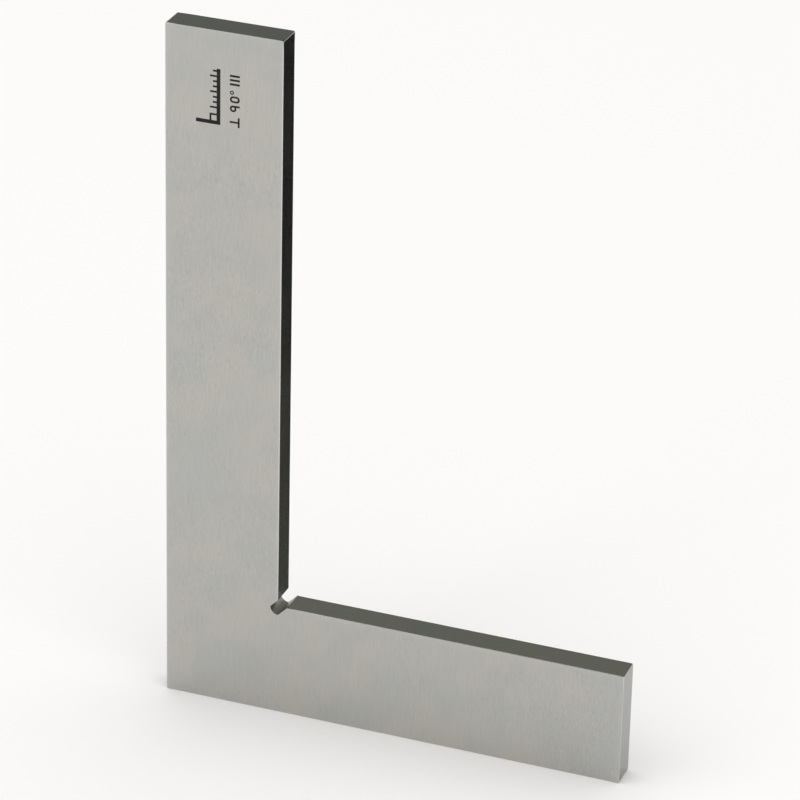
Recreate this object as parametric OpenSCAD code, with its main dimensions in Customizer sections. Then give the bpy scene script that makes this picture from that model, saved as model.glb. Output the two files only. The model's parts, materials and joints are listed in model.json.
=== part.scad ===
// Flat steel square, cut in one piece from plate: a long blade and a short stock
// at exactly 90 degrees, with a relief cut in the inner corner.
// It stands on the stock's outer edge. X runs along the stock, Y through the
// plate, Z up the blade. The origin is the middle of the stock's outer edge.

/* [Blade] */
// Length of the blade's outer edge, from the outer corner to the top
blade_l = 150; // [100:5:300]
// Width of the blade
blade_w = 25; // [18:0.5:40]

/* [Stock] */
// Length of the stock's outer edge, from the outer corner to the end
stock_l = 100; // [70:5:200]
// Width of the stock
stock_w = 25; // [18:0.5:40]

/* [Plate] */
// Thickness of the plate
plate_t = 6; // [3:0.5:8]
// Leg of the small 45 degree chamfer that breaks every sharp edge
arris = 0.15; // [0.1:0.05:0.5]

/* [Corner relief] */
// Width of the relief cut, which runs at 45 degrees into the inner corner
relief_w = 2.4; // [1.6:0.1:4]
// Depth of the cut's straight sides past the inner corner, along the diagonal
relief_depth = 1.4; // [0.8:0.1:3]
// How far the cut's round bottom bows out past the ends of its sides
relief_bow = 0.5; // [0.2:0.05:0.7]
// How far the middle of the cut lies off the diagonal, towards the stock
relief_off = 0.2; // [0:0.05:0.4]

/* [Etched mark] */
// Distance from the blade's top down to the mark
mark_from_top = 8; // [4:0.5:20]
// Distance from the blade's outer edge to the mark
mark_from_edge = 6.6; // [2:0.2:8]
// Depth of the etched recesses in the front face
etch_depth = 0.1; // [0.06:0.01:0.2]
// How far the dark oxide in the recesses stays below the face
etch_below = 0.04; // [0.01:0.01:0.05]
// Length of the right-angle symbol, along the blade
symbol_l = 11.8; // [8:0.2:14]
// Height of the right-angle symbol, across the blade
symbol_h = 5.2; // [4:0.2:6]
// Width of the symbol's two bars
symbol_bar = 0.8; // [0.5:0.1:1]
// Gap between the symbol and the line of figures
line_gap = 2; // [1:0.1:3]
// Height of the figures
figure_h = 2.1; // [1.8:0.1:2.6]
// Width of each figure
figure_w = 1.4; // [1.2:0.1:1.6]
// Width of the figures' strokes
stroke = 0.4; // [0.25:0.01:0.4]
// Space between neighbouring figures
figure_gap = 0.55; // [0.4:0.05:1]

/* [Hidden] */
$fn = 96;

over = 2;                             // how far a through cut runs past the plate
relief_half = relief_w / 2;
// the round bottom's radius, and its centre along the diagonal from the inner corner
relief_r = (relief_half * relief_half + relief_bow * relief_bow) / (2 * relief_bow);
relief_centre = relief_depth + relief_bow - relief_r;

// the outline from the outer corner round, its outer corners broken by the chamfer
outline = [
    [arris, 0], [stock_l - arris, 0], [stock_l, arris],
    [stock_l, stock_w - arris], [stock_l - arris, stock_w], [blade_w, stock_w],
    [blade_w, blade_l - arris], [blade_w - arris, blade_l], [arris, blade_l],
    [0, blade_l - arris], [0, arris]
];
inner_corner = 5;                     // its place in the outline

mark_h = symbol_h + line_gap + figure_h;
grid_step = 1.1;                      // between the symbol's graduations
tick_short = 0.8;
tick_long = 1.4;
corner_box = 1.5;                     // side of the little square that says 90 degrees
angle_ring = 0.44;                    // outer radius of the degree sign
grade_bars = 3;                       // plain bars that end the line

// From the outer corner of the square to the part's own origin.
module at_origin() {
    translate([-stock_l / 2, -plate_t / 2, 0]) children();
}

// Turns a flat drawing of X and Z into a plate from y to y + thick.
module across_plate(y, thick) {
    translate([0, y + thick, 0])
        rotate([90, 0, 0])
            linear_extrude(height = thick) children();
}

// A three-sided bar, laid along one edge of the front face to chamfer it.
// start and end are how far it runs past the two ends of the edge.
module chamfer_bar(from, to, start, end) {
    run = to - from;
    translate([from[0], 0, from[1]])
        rotate([0, -atan2(run[1], run[0]), 0])
            translate([-start, 0, 0])
                rotate([90, 0, 90])
                    linear_extrude(height = norm(run) + start + end)
                        polygon([[-over, -over], [arris + over, -over], [-over, arris + over]]);
}

// Breaks the edges of the front face, all the way round the outline. The two bars
// that meet at the inner corner stop inside the relief cut.
module front_edges() {
    count = len(outline);
    inside = -relief_half / 2;
    for (i = [0:count - 1]) {
        next = (i + 1) % count;
        chamfer_bar(
            outline[i], outline[next],
            i == inner_corner ? inside : over,
            next == inner_corner ? inside : over
        );
    }
}

// Half the section of the relief cut: straight, and flared where it breaks both faces.
function flare(reach) = [
    [reach + arris + over, -over], [reach, arris],
    [reach, plate_t - arris], [reach + arris + over, plate_t + over]
];

// The relief cut, drawn along +X from the inner corner into the plate.
module relief_tool() {
    mouth = blade_w;                  // long enough to leave the corner open
    intersection() {
        rotate([90, 0, 90])
            translate([0, 0, -mouth])
                linear_extrude(height = 2 * mouth)
                    polygon(concat(
                        [for (p = flare(relief_half)) [p[0], p[1]]],
                        [for (p = [3, 2, 1, 0]) [-flare(relief_half)[p][0], flare(relief_half)[p][1]]]
                    ));
        union() {
            translate([relief_centre, 0, 0])
                rotate_extrude()
                    polygon(concat([[0, -over]], flare(relief_r), [[0, plate_t + over]]));
            translate([relief_centre - mouth, -mouth, -over])
                cube([mouth, 2 * mouth, plate_t + 2 * over]);
        }
    }
}

// Puts the relief tool at the inner corner, pointing at the outer corner.
module relief_cut() {
    shift = relief_off / sqrt(2);
    translate([blade_w + shift, plate_t, stock_w - shift])
        rotate([90, 0, 0])
            rotate([0, 0, 225])
                relief_tool();
}

module plate() {
    difference() {
        across_plate(0, plate_t) polygon(outline);
        front_edges();
        translate([0, plate_t, 0]) mirror([0, 1, 0]) front_edges();
        relief_cut();
    }
}

// The mark, drawn as it is read: left to right, baseline at 0.

module ring(r_out, r_in) {
    difference() {
        circle(r = r_out);
        circle(r = r_in);
    }
}

// A small picture of a square with its graduations, and the sign for 90 degrees.
module symbol() {
    square([symbol_l, symbol_bar]);
    square([symbol_bar, symbol_h]);
    first = symbol_bar + corner_box + grid_step;
    count = floor((symbol_l - first) / grid_step);
    for (i = [0:count]) {
        tall = i % 3 == 0 ? tick_long : tick_short;
        translate([min(first + i * grid_step, symbol_l - stroke), symbol_bar])
            square([stroke, tall]);
    }
    translate([symbol_bar, symbol_bar])
        difference() {
            square(corner_box);
            square(corner_box - stroke);
        }
}

// The drawing sign for perpendicularity: a stem on a foot.
module upright_sign() {
    square([figure_h, stroke]);
    translate([figure_h / 2 - stroke / 2, 0]) square([stroke, figure_h]);
}

module nine() {
    bowl = figure_w / 2;
    translate([bowl, figure_h - bowl]) ring(bowl, bowl - stroke);
    translate([figure_w - stroke, 0]) square([stroke, figure_h - bowl]);
}

module long_round(w, h) {
    translate([0, w / 2]) circle(d = w);
    translate([0, h - w / 2]) circle(d = w);
    translate([-w / 2, w / 2]) square([w, h - w]);
}

module zero() {
    translate([figure_w / 2, 0])
        difference() {
            long_round(figure_w, figure_h);
            translate([0, stroke]) long_round(figure_w - 2 * stroke, figure_h - 2 * stroke);
        }
}

// The line of figures: perpendicular sign, 90, degree sign and plain bars.
module figures() {
    nine_at = figure_h + 2 * figure_gap;
    zero_at = nine_at + figure_w + figure_gap;
    ring_at = zero_at + figure_w + figure_gap / 2;
    bars_at = ring_at + 2 * angle_ring + 2 * figure_gap;
    upright_sign();
    translate([nine_at, 0]) nine();
    translate([zero_at, 0]) zero();
    translate([ring_at + angle_ring, figure_h - angle_ring])
        ring(angle_ring, angle_ring - stroke * 0.6);
    for (i = [0:grade_bars - 1])
        translate([bars_at + i * 2 * stroke * 1.1, 0]) square([stroke * 1.1, figure_h]);
}

// Both lines of the mark, turned to read up the blade, on the X and Z of the face.
module mark_drawing() {
    translate([mark_from_edge + mark_h, blade_l - mark_from_top - symbol_l])
        rotate(90) {
            figures();
            translate([0, figure_h + line_gap]) symbol();
        }
}

module square_body() {
    color([0.70, 0.69, 0.67])
        at_origin()
            difference() {
                plate();
                across_plate(-over, over + etch_depth) mark_drawing();
            }
}

module etched_mark() {
    color([0.07, 0.07, 0.06])
        at_origin()
            across_plate(etch_below, etch_depth - etch_below) mark_drawing();
}

square_body();
etched_mark();
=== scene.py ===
# Flat steel square, 150 x 100 mm: a ground plate with a relief cut in its corner
# and a small etched mark. Lengths are metres in the CAD frame, patterns are in mm.
import json
import math

import bmesh
import bpy
from mathutils import Matrix, Vector, noise


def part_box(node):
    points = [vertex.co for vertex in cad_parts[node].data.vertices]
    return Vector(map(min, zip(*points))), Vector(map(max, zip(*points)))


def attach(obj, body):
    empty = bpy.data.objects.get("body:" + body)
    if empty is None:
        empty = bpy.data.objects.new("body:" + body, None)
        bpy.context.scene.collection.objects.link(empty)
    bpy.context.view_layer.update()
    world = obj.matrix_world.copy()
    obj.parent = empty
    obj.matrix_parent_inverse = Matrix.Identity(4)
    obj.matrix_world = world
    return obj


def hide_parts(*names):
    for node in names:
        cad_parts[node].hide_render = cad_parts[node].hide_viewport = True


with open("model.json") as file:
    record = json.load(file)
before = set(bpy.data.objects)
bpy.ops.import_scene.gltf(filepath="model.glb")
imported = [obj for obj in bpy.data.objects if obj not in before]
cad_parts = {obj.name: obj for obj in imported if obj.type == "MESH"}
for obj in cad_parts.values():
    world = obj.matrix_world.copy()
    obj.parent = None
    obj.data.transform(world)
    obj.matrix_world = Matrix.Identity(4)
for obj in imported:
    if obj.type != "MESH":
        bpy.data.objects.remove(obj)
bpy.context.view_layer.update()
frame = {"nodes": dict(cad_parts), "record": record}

mm = 0.001
scene = bpy.context.scene
low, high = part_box("square_body")
middle = (low + high) / 2
print("frame: %.0f x %.0f x %.0f mm" % tuple((high - low) / mm))


def hexColor(code):
    # sRGB hex to the linear colour that a shader wants
    parts = [int(code[i:i + 2], 16) / 255 for i in (1, 3, 5)]
    return [c / 12.92 if c <= 0.04045 else ((c + 0.055) / 1.055) ** 2.4 for c in parts] + [1.0]


def addNode(tree, kind, settings={}, links={}, **options):
    # options are the node's own properties, settings its inputs' values, links what feeds
    # them; a name means the input of that name that is in use
    node = tree.nodes.new(kind)
    for name, value in options.items():
        setattr(node, name, value)
    inUse = {s.name: s for s in reversed(node.inputs) if s.enabled}
    for name, value in settings.items():
        (node.inputs[name] if isinstance(name, int) else inUse[name]).default_value = value
    for name, socket in links.items():
        tree.links.new(socket, node.inputs[name] if isinstance(name, int) else inUse[name])
    return node


def result(node):
    return next(s for s in node.outputs if s.enabled)


def newMaterial(name):
    material = bpy.data.materials.new(name)
    material.use_nodes = True
    material.node_tree.nodes.clear()
    return material, material.node_tree


def mountPoint(name):
    return Vector(next(m["pos_m"] for m in frame["record"]["mounts"] if m["name"] == name))


def showObject(name, data):
    thing = bpy.data.objects.new(name, data)
    scene.collection.objects.link(thing)
    return thing


cameraView = dict(
    azimuth=20.03, elevation=26.38, roll=-1.35,   # degrees
    distance=880.3, aimOffset=(0.7, -3.0, 2.5),   # mm
    lens=199.1, sensorWidth=36,                   # mm
    nearest=0.05,                                 # m, closer than this isn't drawn
)


def makeCamera():
    az, el, roll = (math.radians(cameraView[k]) for k in ("azimuth", "elevation", "roll"))
    forward = Vector((-math.sin(az) * math.cos(el), math.cos(az) * math.cos(el), -math.sin(el)))
    level = forward.cross(Vector((0, 0, 1))).normalized()
    up = level.cross(forward) * math.cos(roll) + level * math.sin(roll)
    turn = Matrix((forward.cross(up), up, -forward)).transposed().to_4x4()
    aim = middle + Vector(cameraView["aimOffset"]) * mm
    data = bpy.data.cameras.new("camera")
    data.lens = cameraView["lens"]
    data.sensor_width = cameraView["sensorWidth"]
    data.clip_start = cameraView["nearest"]
    camera = showObject("camera", data)
    camera.matrix_world = Matrix.Translation(aim - forward * cameraView["distance"] * mm) @ turn
    scene.camera = camera


makeCamera()
print("camera placed")

# Surface-ground tool steel: hair-fine straight lines left by the wheel, all one way over
# both arms; a soft metal grey, a little warm here and a little cool there.
groundFaceLook = dict(
    warm="#BAB8B2", cool="#B4B5B2", dull="#A3A19C", bright="#C8C7C3",
    roughness=0.38, roughnessSpread=0.08,
    lineWidth=0.16, lineLength=4.0,        # mm; real wheel lines are finer, these still show
    dashWidth=0.22, dashLength=1.2, dashes=0.4,
    patch=9.0,                             # mm across a warm or cool patch
    pitSpacing=2.6, pitSize=0.09, scratches=0.30,
    relief=0.002,                          # mm from the top to the bottom of a line
    anisotropy=0.4,
)
# Fine-ground measuring edge: the same steel taken to a close, nearly mirror finish, so it
# goes dark or bright with what it faces. Its colours are set darker and a little more olive
# than the face's as painted shade.
shadedMeasuringEdgeLook = dict(
    warm="#AAA89F", cool="#A4A8A3", dull="#94938B", bright="#B7B8B1",
    roughness=0.11, roughnessSpread=0.04,
    lineWidth=0.10, lineLength=12.0, dashWidth=0.16, dashLength=2.5, dashes=0.3,
    patch=7.0, pitSpacing=3.5, pitSize=0.07, scratches=0.2,
    relief=0.0010, anisotropy=0.0,
)
# Ends of the two arms: ground but not measured from, so with coarser lines; their colours are a darker copy
# of the steel's, as painted shade.
shadedEndFaceLook = dict(
    warm="#8D8D88", cool="#888C8B", dull="#7B7A76", bright="#9A9B98",
    roughness=0.14, roughnessSpread=0.05,
    lineWidth=0.18, lineLength=4.0, dashWidth=0.25, dashLength=1.0, dashes=0.35,
    patch=5.0, pitSpacing=2.2, pitSize=0.08, scratches=0.2,
    relief=0.002, anisotropy=0.2,
)
# Milled relief cut: cutter marks run through the thickness; its colours are set darker as painted shade for
# the little light that gets into the cut.
shadedMilledReliefLook = dict(
    warm="#A8A69C", cool="#A0A299", dull="#838178", bright="#BBBAB2",
    roughness=0.42, roughnessSpread=0.12,
    lineWidth=0.14, lineLength=5.0, dashWidth=0.22, dashLength=1.5, dashes=0.4,
    patch=3.0, pitSpacing=1.6, pitSize=0.07, scratches=0.0,
    relief=0.006, anisotropy=0.2,
)
# Arris broken with an oilstone and then by handling: polished steel, with its colours set brighter than steel
# is, as a painted highlight along the edges.
highlightedArrisLook = dict(
    warm="#D3D2CE", cool="#D0D2D2", dull="#BDBCB8", bright="#DEDEDC",
    roughness=0.24, roughnessSpread=0.08,
    lineWidth=0.08, lineLength=3.0, dashWidth=0.12, dashLength=0.8, dashes=0.3,
    patch=6.0, pitSpacing=1.8, pitSize=0.06, scratches=0.0,
    relief=0.0015, anisotropy=0.2,
)
# What all five finishes share. Each pair says where in its noise a pattern starts and where
# it is full. A seed, like a layer, only takes a pattern from another part of its noise.
steelPattern = dict(
    streakRoughness=0.6,
    brightLines=(0.50, 0.68), dullLines=(0.50, 0.32), lines=0.22, lineDetail=3,
    brightDashes=(0.40, 0.30), dullDashes=(0.58, 0.70), dashDetail=1, dashSeed=31.7,
    warmPatches=(0.34, 0.66), patchDetail=3.0, patchRoughness=0.55,
    worked=(0.40, 0.62), workedSize=3,          # patches where the dashes show, in colour patches
    workedDetail=2.0, workedSwirl=0.8,
    pitColour="#5C5952", pits=0.7, pitRim=(1.3, 0.5),      # rim in pit radii
    scratchTurn=14, scratchWidth=0.13, scratchLength=34,   # degrees off the lines, mm
    scratchedParts=(0.74, 0.80), scratchSeed=7.9,
    rubbed=0.12, rubbedWidth=(1.3, 0.2),        # mm in from an edge that fingers have smoothed
    hazeRoughness=1.5, rubbedRoughness=-0.35,   # in roughness spreads
    dashHeight=0.4, pitHeight=-1.5, scratchHeight=-1.0,    # in heights of a line
    edgeLayer=0.3, reliefLayer=0.7, reliefSlant=0.4,
)


def grainPlace(tree, place, grain):
    # x across the grinding lines and y along them, in mm
    split = addNode(tree, "ShaderNodeSeparateXYZ", links={"Vector": place})
    x, y, z = split.outputs
    if grain == "up the blade":
        return result(addNode(tree, "ShaderNodeCombineXYZ", links={"X": x, "Y": z, "Z": y}))
    if grain == "along the edge":
        # x + z grows along every edge and end, whichever way it runs
        along = result(addNode(tree, "ShaderNodeMath", links={0: x, 1: z}, operation="ADD"))
        return result(addNode(
            tree, "ShaderNodeCombineXYZ", {"Z": steelPattern["edgeLayer"]}, {"X": y, "Y": along}))
    around = result(addNode(
        tree, "ShaderNodeMath", {1: steelPattern["reliefSlant"]}, {0: z, 2: x}, operation="MULTIPLY_ADD"))
    return result(addNode(
        tree, "ShaderNodeCombineXYZ", {"Z": steelPattern["reliefLayer"]}, {"X": around, "Y": y}))


def edgeDistance(tree, place):
    # mm from a point on a flat face to the nearest edge of the L
    split = addNode(tree, "ShaderNodeSeparateXYZ", links={"Vector": place})
    x, y, z = split.outputs
    walls = [(x, low.x, 1), (z, low.z, 1), (x, high.x, -1), (z, high.z, -1)]
    inner = [(x, mountPoint("blade_inner_edge").x, -1), (z, mountPoint("stock_inner_edge").z, -1)]

    def away(wall):
        value, at, sign = wall
        return result(addNode(
            tree, "ShaderNodeMath", {1: sign, 2: -sign * at / mm}, {0: value}, operation="MULTIPLY_ADD"))

    nearest = result(addNode(
        tree, "ShaderNodeMath", links={0: away(inner[0]), 1: away(inner[1])}, operation="MAXIMUM"))
    for wall in walls:
        nearest = result(addNode(
            tree, "ShaderNodeMath", links={0: nearest, 1: away(wall)}, operation="MINIMUM"))
    return nearest


def steelFinish(name, look, grain):
    material, tree = newMaterial(name)
    local = addNode(tree, "ShaderNodeTexCoord").outputs["Object"]
    place = result(addNode(tree, "ShaderNodeVectorMath", {"Scale": 1 / mm}, {0: local}, operation="SCALE"))
    lines = grainPlace(tree, place, grain)

    def streaks(source, width, length, detail, seed):
        # noise drawn out along the lines
        stretched = addNode(
            tree, "ShaderNodeVectorMath", {1: (1 / width, 1 / length, 1 / length), 2: (seed, seed, seed)},
            {0: source}, operation="MULTIPLY_ADD")
        return addNode(
            tree, "ShaderNodeTexNoise",
            {"Scale": 1.0, "Detail": detail, "Roughness": steelPattern["streakRoughness"]},
            {"Vector": result(stretched)}).outputs["Fac"]

    def share(value, between, amount=1.0):
        # nothing at the start of between and amount at its end
        return result(addNode(
            tree, "ShaderNodeMapRange",
            {"From Min": between[0], "From Max": between[1], "To Max": amount},
            {"Value": value}, interpolation_type="SMOOTHSTEP"))

    def blend(colour, other, factor):
        return result(addNode(
            tree, "ShaderNodeMix", {"B": hexColor(other)}, {"A": colour, "Factor": factor}, data_type="RGBA"))

    def added(total, value, times):
        # total + times x value
        return result(addNode(
            tree, "ShaderNodeMath", {1: times}, {0: value, 2: total}, operation="MULTIPLY_ADD"))

    fine = streaks(lines, look["lineWidth"], look["lineLength"], steelPattern["lineDetail"], 0.0)
    dash = streaks(
        lines, look["dashWidth"], look["dashLength"], steelPattern["dashDetail"], steelPattern["dashSeed"])
    patch = addNode(
        tree, "ShaderNodeTexNoise",
        {"Scale": 1 / look["patch"], "Detail": steelPattern["patchDetail"],
         "Roughness": steelPattern["patchRoughness"]},
        {"Vector": place}).outputs["Fac"]
    haze = addNode(
        tree, "ShaderNodeTexNoise",
        {"Scale": 1 / (look["patch"] * steelPattern["workedSize"]),
         "Detail": steelPattern["workedDetail"], "Distortion": steelPattern["workedSwirl"]},
        {"Vector": place}).outputs["Fac"]
    pits = addNode(
        tree, "ShaderNodeTexVoronoi", {"Scale": 1 / look["pitSpacing"]}, {"Vector": place})
    rim = [k * look["pitSize"] / look["pitSpacing"] for k in steelPattern["pitRim"]]
    pit = share(pits.outputs["Distance"], rim, steelPattern["pits"])
    turned = addNode(
        tree, "ShaderNodeVectorRotate", {"Angle": math.radians(steelPattern["scratchTurn"])},
        {"Vector": lines}, rotation_type="Z_AXIS")
    scratch = streaks(
        result(turned), steelPattern["scratchWidth"], steelPattern["scratchLength"], 0,
        steelPattern["scratchSeed"])
    scratch = share(scratch, steelPattern["scratchedParts"], look["scratches"])
    rubbed = share(edgeDistance(tree, place), steelPattern["rubbedWidth"], steelPattern["rubbed"])
    worked = share(haze, steelPattern["worked"])     # the grinding shows more in some places

    steel = addNode(
        tree, "ShaderNodeMix", {"A": hexColor(look["cool"]), "B": hexColor(look["warm"])},
        {"Factor": share(patch, steelPattern["warmPatches"])}, data_type="RGBA")
    brightLine = share(fine, steelPattern["brightLines"], steelPattern["lines"])
    dullLine = share(fine, steelPattern["dullLines"], steelPattern["lines"])
    dullDash = addNode(
        tree, "ShaderNodeMath",
        links={0: share(dash, steelPattern["dullDashes"], look["dashes"]), 1: worked},
        operation="MULTIPLY")
    brightDash = addNode(
        tree, "ShaderNodeMath",
        links={0: share(dash, steelPattern["brightDashes"], look["dashes"]), 1: worked},
        operation="MULTIPLY")
    colour = blend(result(steel), look["bright"], brightLine)
    colour = blend(colour, look["dull"], dullLine)
    colour = blend(colour, look["dull"], result(dullDash))
    colour = blend(colour, look["bright"], result(brightDash))
    colour = blend(colour, look["bright"], rubbed)
    colour = blend(colour, look["bright"], scratch)
    colour = blend(colour, steelPattern["pitColour"], pit)

    # the lines' and the haze's noise is 0.5 on average, so half of what they add is taken off
    # first and the roughness stays about what the look says
    spread, hazy = look["roughnessSpread"], steelPattern["hazeRoughness"]
    rough = result(addNode(
        tree, "ShaderNodeMath", {1: spread, 2: look["roughness"] - spread * (1 + hazy) / 2}, {0: fine},
        operation="MULTIPLY_ADD"))
    rough = added(rough, haze, hazy * spread)
    rough = added(rough, rubbed, steelPattern["rubbedRoughness"] * spread)

    height = added(fine, dash, steelPattern["dashHeight"])
    height = added(height, pit, steelPattern["pitHeight"])
    height = added(height, scratch, steelPattern["scratchHeight"])
    bump = addNode(
        tree, "ShaderNodeBump", {"Strength": 1.0, "Distance": look["relief"] * mm}, {"Height": height})

    # highlights spread across the grinding lines
    facing = addNode(tree, "ShaderNodeNewGeometry").outputs["Normal"]
    upright = (0, 0, 1) if grain == "up the blade" else (0, 1, 0)
    across = result(addNode(
        tree, "ShaderNodeVectorMath", {1: upright}, {0: facing}, operation="CROSS_PRODUCT"))
    if grain == "along the edge":
        across = result(addNode(
            tree, "ShaderNodeVectorMath", links={0: facing, 1: across}, operation="CROSS_PRODUCT"))
    shader = addNode(
        tree, "ShaderNodeBsdfPrincipled", {"Metallic": 1.0, "Anisotropic": look["anisotropy"]},
        {"Base Color": colour, "Roughness": rough, "Normal": result(bump), "Tangent": across})
    addNode(tree, "ShaderNodeOutputMaterial", links={"Surface": result(shader)})
    return material


plateMaterials = dict(
    face=steelFinish("surface-ground tool steel", groundFaceLook, "up the blade"),
    # the edge finish's darker colours are painted shade
    edge=steelFinish("fine-ground tool steel edge with painted shade", shadedMeasuringEdgeLook, "along the edge"),
    # the end finish's darker colours are painted shade
    end=steelFinish("ground tool steel end with painted shade", shadedEndFaceLook, "along the edge"),
    # the relief finish's darker colours are painted shade
    relief=steelFinish("milled tool steel relief with painted shade", shadedMilledReliefLook, "through the plate"),
    # the arris finish's brighter colours are a painted highlight
    arris=steelFinish("stoned tool steel arris with painted highlight", highlightedArrisLook, "along the edge"),
)
print("steel finishes: " + ", ".join(plateMaterials))

# The plate. Its arm widths come from the inner measuring edges' mounts; the rest is what
# the stone and the relief cutter left, in millimetres.
plate = dict(
    arris=0.15,            # leg of the chamfer stoned on the long edges
    lightArris=dict(end=0.05, relief=0.05),   # the ends and the relief cut are only deburred
    arrisWander=0.14,      # how much that leg wanders along an edge
    wanderLength=9.0,
    facesApart=40,         # between the two faces in that wander's noise, so that they differ
    cornerRound=0.3,       # the five outer corners, through the thickness
    cornerSteps=4,
    reliefWidth=2.4, reliefDepth=1.4, reliefBow=0.5, reliefShift=0.2,
    reliefSteps=16,
    cell=2.5,              # mesh cells on the flats
    clearOfCorner=0.05,    # no cell line closer than this to the end of an edge
    mergeWithin=0.002,     # points closer than this are one
    sharpFrom=32,          # degrees between two faces that leave a sharp line
)
# Section of an arris from the face to the edge: a chamfer with its two corners worn round.
arrisSection = [(1, 0), (0.8, 0.05), (0.05, 0.8), (0, 1)]
finishes = list(plateMaterials)   # in the order of the material slots


def straightRun(start, end, finish):
    # points from start to end on the cell lines, without the end
    run = end - start
    axis = 0 if abs(run.x) > abs(run.y) else 1
    a, b = start[axis], end[axis]
    cell, clear = plate["cell"], plate["clearOfCorner"]
    marks = [k * cell for k in range(math.ceil(min(a, b) / cell), math.floor(max(a, b) / cell) + 1)]
    marks = [m for m in marks if min(a, b) + clear < m < max(a, b) - clear]
    if b < a:
        marks.reverse()
    return [(start, finish)] + [(start + run * ((m - a) / (b - a)), finish) for m in marks]


def arcRun(centre, start, end, steps, finish):
    # the short way round from start to end, without the end
    a = math.atan2(*(start - centre).yx)
    turn = (math.atan2(*(end - centre).yx) - a + math.pi) % (2 * math.pi) - math.pi
    radius = (start - centre).length
    return [
        (centre + radius * Vector((math.cos(a + turn * i / steps), math.sin(a + turn * i / steps))), finish)
        for i in range(steps)
    ]


def outlinePoints(length, height, stockWidth, bladeWidth):
    # Anticlockwise seen from the front, from the outer corner; each point has the finish
    # of the edge that starts there.
    r = plate["cornerRound"]
    inwards = Vector((-1, -1)) / math.sqrt(2)      # along the relief cut
    across = Vector((1, -1)) / math.sqrt(2)
    inner = Vector((bladeWidth, stockWidth))
    half, depth, bow = plate["reliefWidth"] / 2, plate["reliefDepth"], plate["reliefBow"]
    radius = (half * half + bow * bow) / (2 * bow)
    stockSide = plate["reliefShift"] + half
    bladeSide = plate["reliefShift"] - half
    stockMouth = inner + across * stockSide - inwards * stockSide
    bladeMouth = inner + across * bladeSide + inwards * bladeSide
    stockEnd = inner + across * stockSide + inwards * depth
    bladeEnd = inner + across * bladeSide + inwards * depth
    bottom = inner + across * plate["reliefShift"] + inwards * (depth + bow - radius)

    corners = [
        (Vector((0, 0)), "edge"), (Vector((length, 0)), "end"), (Vector((length, stockWidth)), "edge"),
        (Vector((bladeWidth, height)), "end"), (Vector((0, height)), "edge"),
    ]
    stockTip, bladeTip = 2, 3        # the corners on either side of the relief cut
    points = []
    for i, (corner, finish) in enumerate(corners):
        before = corners[i - 1][0] if i != bladeTip else bladeMouth
        after = corners[(i + 1) % len(corners)][0] if i != stockTip else stockMouth
        fromSide = corner + (before - corner).normalized() * r
        toSide = corner + (after - corner).normalized() * r
        points += arcRun(fromSide + toSide - corner, fromSide, toSide, plate["cornerSteps"], finish)
        if i == stockTip:
            points += straightRun(toSide, stockMouth, finish)
            points += [(stockMouth, "relief"), (stockMouth.lerp(stockEnd, 0.5), "relief")]
            points += arcRun(bottom, stockEnd, bladeEnd, plate["reliefSteps"], "relief")
            points += [(bladeEnd, "relief"), (bladeEnd.lerp(bladeMouth, 0.5), "relief")]
            points += straightRun(bladeMouth, corners[bladeTip][0] - Vector((0, r)), "edge")
        else:
            points += straightRun(toSide, after + (corner - after).normalized() * r, finish)
    return points


def inwardOf(points, i):
    # which way, and how far, a point moves when the outline is set in by one
    here, before, after = points[i][0], points[i - 1][0], points[(i + 1) % len(points)][0]
    a, b = (here - before).normalized(), (after - here).normalized()
    left = [Vector((-d.y, d.x)) for d in (a, b)]
    return (left[0] + left[1]) / (1 + left[0].dot(left[1]))


def arrisAt(point, finish, side):
    # the leg of the chamfer at a point, which wanders a little and differs on the two faces
    where = Vector((point.x, side * plate["facesApart"], point.y)) / plate["wanderLength"]
    leg = plate["lightArris"].get(finish, plate["arris"])
    return leg * (1 + plate["arrisWander"] * noise.noise(where))


def buildPlate():
    size = (high - low) / mm
    stockWidth = (mountPoint("stock_inner_edge").z - low.z) / mm
    bladeWidth = (mountPoint("blade_inner_edge").x - low.x) / mm
    points = outlinePoints(size.x, size.z, stockWidth, bladeWidth)
    mesh = bmesh.new()
    rings = []
    for i, (point, finish) in enumerate(points):
        inward = inwardOf(points, i)
        front, back = arrisAt(point, finish, 0), arrisAt(point, finish, 1)
        section = [(d * front, y * front) for d, y in arrisSection]
        section += [(0, size.y / 3), (0, size.y * 2 / 3)]
        section += [(d * back, size.y - y * back) for d, y in reversed(arrisSection)]
        ring = []
        for d, y in section:
            at = point + inward * d
            ring.append(mesh.verts.new(low + Vector((at.x, y, at.y)) * mm))
        rings.append(ring)
    last = len(rings[0]) - 1
    arrisFaces = len(arrisSection) - 1
    for i, ring in enumerate(rings):
        after = rings[(i + 1) % len(rings)]
        for j in range(last):
            face = mesh.faces.new((ring[j], ring[j + 1], after[j + 1], after[j]))
            onArris = j < arrisFaces or j >= last - arrisFaces
            face.material_index = finishes.index("arris" if onArris else points[i][1])
    mesh.faces.new([ring[0] for ring in rings])
    mesh.faces.new([ring[last] for ring in reversed(rings)])

    # cut the flats into cells, so that they are quads and not one big face
    cell = plate["cell"]
    cuts = [(Vector((1, 0, 0)), k * cell) for k in range(1, round(size.x / cell))]
    cuts += [(Vector((0, 0, 1)), k * cell) for k in range(1, round(size.z / cell))]
    for normal, at in cuts:
        everything = mesh.verts[:] + mesh.edges[:] + mesh.faces[:]
        bmesh.ops.bisect_plane(
            mesh, geom=everything, dist=plate["mergeWithin"] * mm,
            plane_co=low + normal * at * mm, plane_no=normal)
    bmesh.ops.recalc_face_normals(mesh, faces=mesh.faces[:])
    data = bpy.data.meshes.new("ground_plate")
    mesh.to_mesh(data)
    mesh.free()
    for material in plateMaterials.values():
        data.materials.append(material)
    return showObject("ground_plate", data)


# The etching: the mark's own solids lie in recesses of the same outline.
etching = dict(recess=0.10)   # mm below the face


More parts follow.
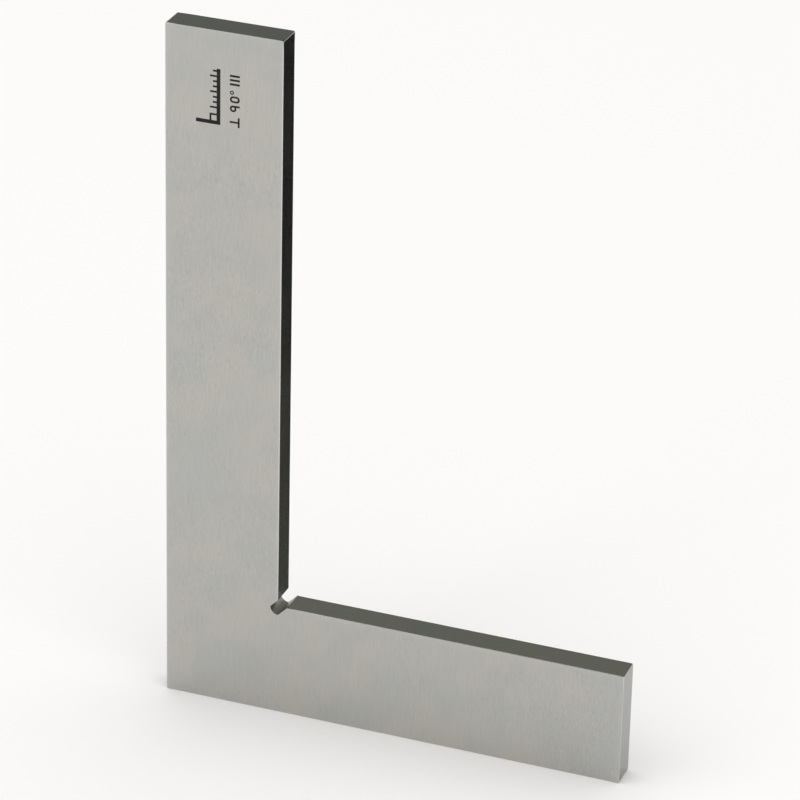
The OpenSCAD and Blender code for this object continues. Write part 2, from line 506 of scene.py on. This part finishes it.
def cutRecesses(body):
    cutter = showObject("recess_cutter", frame["nodes"]["etched_mark"].data.copy())
    markLow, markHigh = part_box("etched_mark")
    for vertex in cutter.data.vertices:
        if vertex.co.y < (markLow.y + markHigh.y) / 2:
            vertex.co.y = low.y - mm
        else:
            vertex.co.y = low.y + etching["recess"] * mm
    cut = body.modifiers.new("recesses", "BOOLEAN")
    cut.operation = "DIFFERENCE"
    cut.solver = "EXACT"
    cut.object = cutter
    bpy.context.view_layer.update()
    finished = bpy.data.meshes.new_from_object(body.evaluated_get(bpy.context.evaluated_depsgraph_get()))
    body.modifiers.clear()
    body.data = finished
    bpy.data.objects.remove(cutter)


def shadeByAngle(body):
    sharp = math.radians(plate["sharpFrom"])
    mesh = bmesh.new()
    mesh.from_mesh(body.data)
    bmesh.ops.remove_doubles(mesh, verts=mesh.verts[:], dist=plate["mergeWithin"] * mm)
    bmesh.ops.triangulate(mesh, faces=[f for f in mesh.faces if len(f.verts) > 4])
    for face in mesh.faces:
        face.smooth = True
    for edge in mesh.edges:
        edge.smooth = len(edge.link_faces) == 2 and edge.calc_face_angle(0) < sharp
    mesh.to_mesh(body.data)
    mesh.free()
    weighted = body.modifiers.new("flat faces keep flat", "WEIGHTED_NORMAL")
    weighted.keep_sharp = True


groundPlate = buildPlate()
print("plate built: %d faces" % len(groundPlate.data.polygons))
cutRecesses(groundPlate)
shadeByAngle(groundPlate)
print("mark recessed: %d faces" % len(groundPlate.data.polygons))
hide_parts("square_body")
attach(groundPlate, "root")


# Electro-etched black oxide: matt, near black and a little brown, thinner along the
# grinding lines, where some steel shows through.
oxideLook = dict(
    dark="#171613", thin="#35332F", thinParts=(0.26, 0.45), gloss=0.25,
    roughness=0.63, thinRoughness=0.45,
    lineWidth=0.12, lineLength=3.0, patch=1.4,   # mm
    relief=0.004,                                # mm
)


def etchedOxide():
    material, tree = newMaterial("etched black oxide")
    local = addNode(tree, "ShaderNodeTexCoord").outputs["Object"]
    place = result(addNode(tree, "ShaderNodeVectorMath", {"Scale": 1 / mm}, {0: local}, operation="SCALE"))
    lines = result(addNode(
        tree, "ShaderNodeVectorMath", {1: (1 / oxideLook["lineWidth"], 1, 1 / oxideLook["lineLength"])},
        {0: place}, operation="MULTIPLY"))
    fine = addNode(tree, "ShaderNodeTexNoise", {"Scale": 1.0, "Detail": 2.0}, {"Vector": lines})
    patch = addNode(tree, "ShaderNodeTexNoise", {"Scale": 1 / oxideLook["patch"]}, {"Vector": place})
    both = addNode(
        tree, "ShaderNodeMath", links={0: fine.outputs["Fac"], 1: patch.outputs["Fac"]}, operation="MULTIPLY")
    start, full = oxideLook["thinParts"]
    thin = addNode(
        tree, "ShaderNodeMapRange", {"From Min": start, "From Max": full}, {"Value": result(both)})
    colour = addNode(
        tree, "ShaderNodeMix", {"A": hexColor(oxideLook["dark"]), "B": hexColor(oxideLook["thin"])},
        {"Factor": result(thin)}, data_type="RGBA")
    rough = addNode(
        tree, "ShaderNodeMapRange", {"To Min": oxideLook["roughness"], "To Max": oxideLook["thinRoughness"]},
        {"Value": result(thin)})
    bump = addNode(
        tree, "ShaderNodeBump", {"Distance": oxideLook["relief"] * mm}, {"Height": fine.outputs["Fac"]})
    shader = addNode(
        tree, "ShaderNodeBsdfPrincipled", {"IOR": 1.5, "Specular IOR Level": oxideLook["gloss"]},
        {"Base Color": result(colour), "Roughness": result(rough), "Normal": result(bump)})
    addNode(tree, "ShaderNodeOutputMaterial", links={"Surface": result(shader)})
    return material


mark = frame["nodes"]["etched_mark"]
mark.data.materials.clear()
mark.data.materials.append(etchedOxide())
print("mark finished")

# Studio: a pale board to stand on, two big soft boxes and even light from all round. In
# reflections the room is pale low down and darker above, which is what the upward edges
# mirror; a black strip, seen only in reflections too, lies on the board behind the blade
# for the inner measuring edge to mirror.
studio = dict(
    board="#F7F6F5", boardSize=20.0, boardRoughness=0.9,
    evenLight=0.95, horizon="#EAEAE8", ceiling="#8B8D87", fadeFrom=12.0, fadeTo=18.5,   # degrees up
    softBoxes=[   # where and how wide in m, watts
        ((1.5, -1.1, 1.7), 1.8, 6.0),
        ((-1.4, -1.0, 1.8), 1.8, 9.0),
    ],
    stripTurn=21.5, stripLift=0.5,     # degrees, mm above the board
    stripEnds=[(46, 5), (460, 62)],    # mm from the blade, mm to each side
    stripNear="#3E4038", stripFar="#0D100A", stripFade=(70, 230),   # mm
)


def flatSheet(name, corners):
    data = bpy.data.meshes.new(name)
    data.from_pydata(corners, [], [(0, 1, 2, 3)])
    return showObject(name, data)


def plainMaterial(name, colour, roughness):
    material, tree = newMaterial(name)
    shader = addNode(
        tree, "ShaderNodeBsdfPrincipled", {"Base Color": hexColor(colour), "Roughness": roughness})
    addNode(tree, "ShaderNodeOutputMaterial", links={"Surface": result(shader)})
    return material


def paintedReflectionStrip(start):
    # black sheet, a little greyer towards the blade: a painted reflection whose fade sets how dark the inner
    # measuring edge looks along its height
    material, tree = newMaterial("black strip for painted reflection")
    place = addNode(tree, "ShaderNodeTexCoord").outputs["Object"]
    away = addNode(tree, "ShaderNodeVectorMath", {1: start}, {0: place}, operation="DISTANCE")
    near, far = studio["stripFade"]
    fade = addNode(
        tree, "ShaderNodeMapRange", {"From Min": near * mm, "From Max": far * mm},
        {"Value": away.outputs["Value"]}, interpolation_type="SMOOTHSTEP")
    colour = addNode(
        tree, "ShaderNodeMix", {"A": hexColor(studio["stripNear"]), "B": hexColor(studio["stripFar"])},
        {"Factor": result(fade)}, data_type="RGBA")
    shader = addNode(tree, "ShaderNodeBsdfPrincipled", {"Roughness": 1.0}, {"Base Color": result(colour)})
    addNode(tree, "ShaderNodeOutputMaterial", links={"Surface": result(shader)})
    return material


def makeStudio():
    half, z = studio["boardSize"] / 2, low.z
    board = flatSheet("board", [(-half, -half, z), (half, -half, z), (half, half, z), (-half, half, z)])
    board.data.materials.append(plainMaterial("matt studio board", studio["board"], studio["boardRoughness"]))

    # the strip runs back from the blade at the angle at which the edge is looked into
    turn = math.radians(studio["stripTurn"])
    start = Vector((mountPoint("blade_inner_edge").x, 0, low.z + studio["stripLift"] * mm))
    ahead = Vector((math.sin(turn), math.cos(turn), 0)) * mm
    aside = Vector((math.cos(turn), -math.sin(turn), 0)) * mm
    (near, nearHalf), (far, farHalf) = studio["stripEnds"]
    strip = flatSheet("black strip", [
        start + ahead * near - aside * nearHalf, start + ahead * near + aside * nearHalf,
        start + ahead * far + aside * farHalf, start + ahead * far - aside * farHalf,
    ])
    strip.data.materials.append(paintedReflectionStrip(start))
    strip.visible_camera = False
    strip.visible_diffuse = False
    strip.visible_shadow = False

    for i, (where, size, watts) in enumerate(studio["softBoxes"]):
        data = bpy.data.lights.new("soft box %d" % (i + 1), "AREA")
        data.size = size
        data.energy = watts
        light = showObject(data.name, data)
        light.location = where
        light.rotation_mode = "QUATERNION"
        light.rotation_quaternion = (middle - light.location).to_track_quat("-Z", "Y")

    world = bpy.data.worlds.new("studio")
    scene.world = world
    world.use_nodes = True
    tree = world.node_tree
    tree.nodes.clear()
    way = addNode(tree, "ShaderNodeTexCoord").outputs["Generated"]
    up = addNode(tree, "ShaderNodeSeparateXYZ", links={"Vector": way}).outputs["Z"]
    share = addNode(
        tree, "ShaderNodeMapRange",
        {"From Min": math.sin(math.radians(studio["fadeFrom"])),
         "From Max": math.sin(math.radians(studio["fadeTo"]))},
        {"Value": up}, interpolation_type="SMOOTHSTEP")
    room = addNode(
        tree, "ShaderNodeMix", {"A": hexColor(studio["horizon"]), "B": hexColor(studio["ceiling"])},
        {"Factor": result(share)}, data_type="RGBA")
    seen = addNode(tree, "ShaderNodeBackground", links={"Color": result(room)})
    even = addNode(
        tree, "ShaderNodeBackground", {"Color": (1, 1, 1, 1), "Strength": studio["evenLight"]})
    matt = addNode(tree, "ShaderNodeLightPath").outputs["Is Diffuse Ray"]
    light = addNode(tree, "ShaderNodeMixShader", links={0: matt, 1: result(seen), 2: result(even)})
    addNode(tree, "ShaderNodeOutputWorld", links={"Surface": result(light)})
    scene.view_settings.view_transform = "Standard"


makeStudio()
print("studio lit")
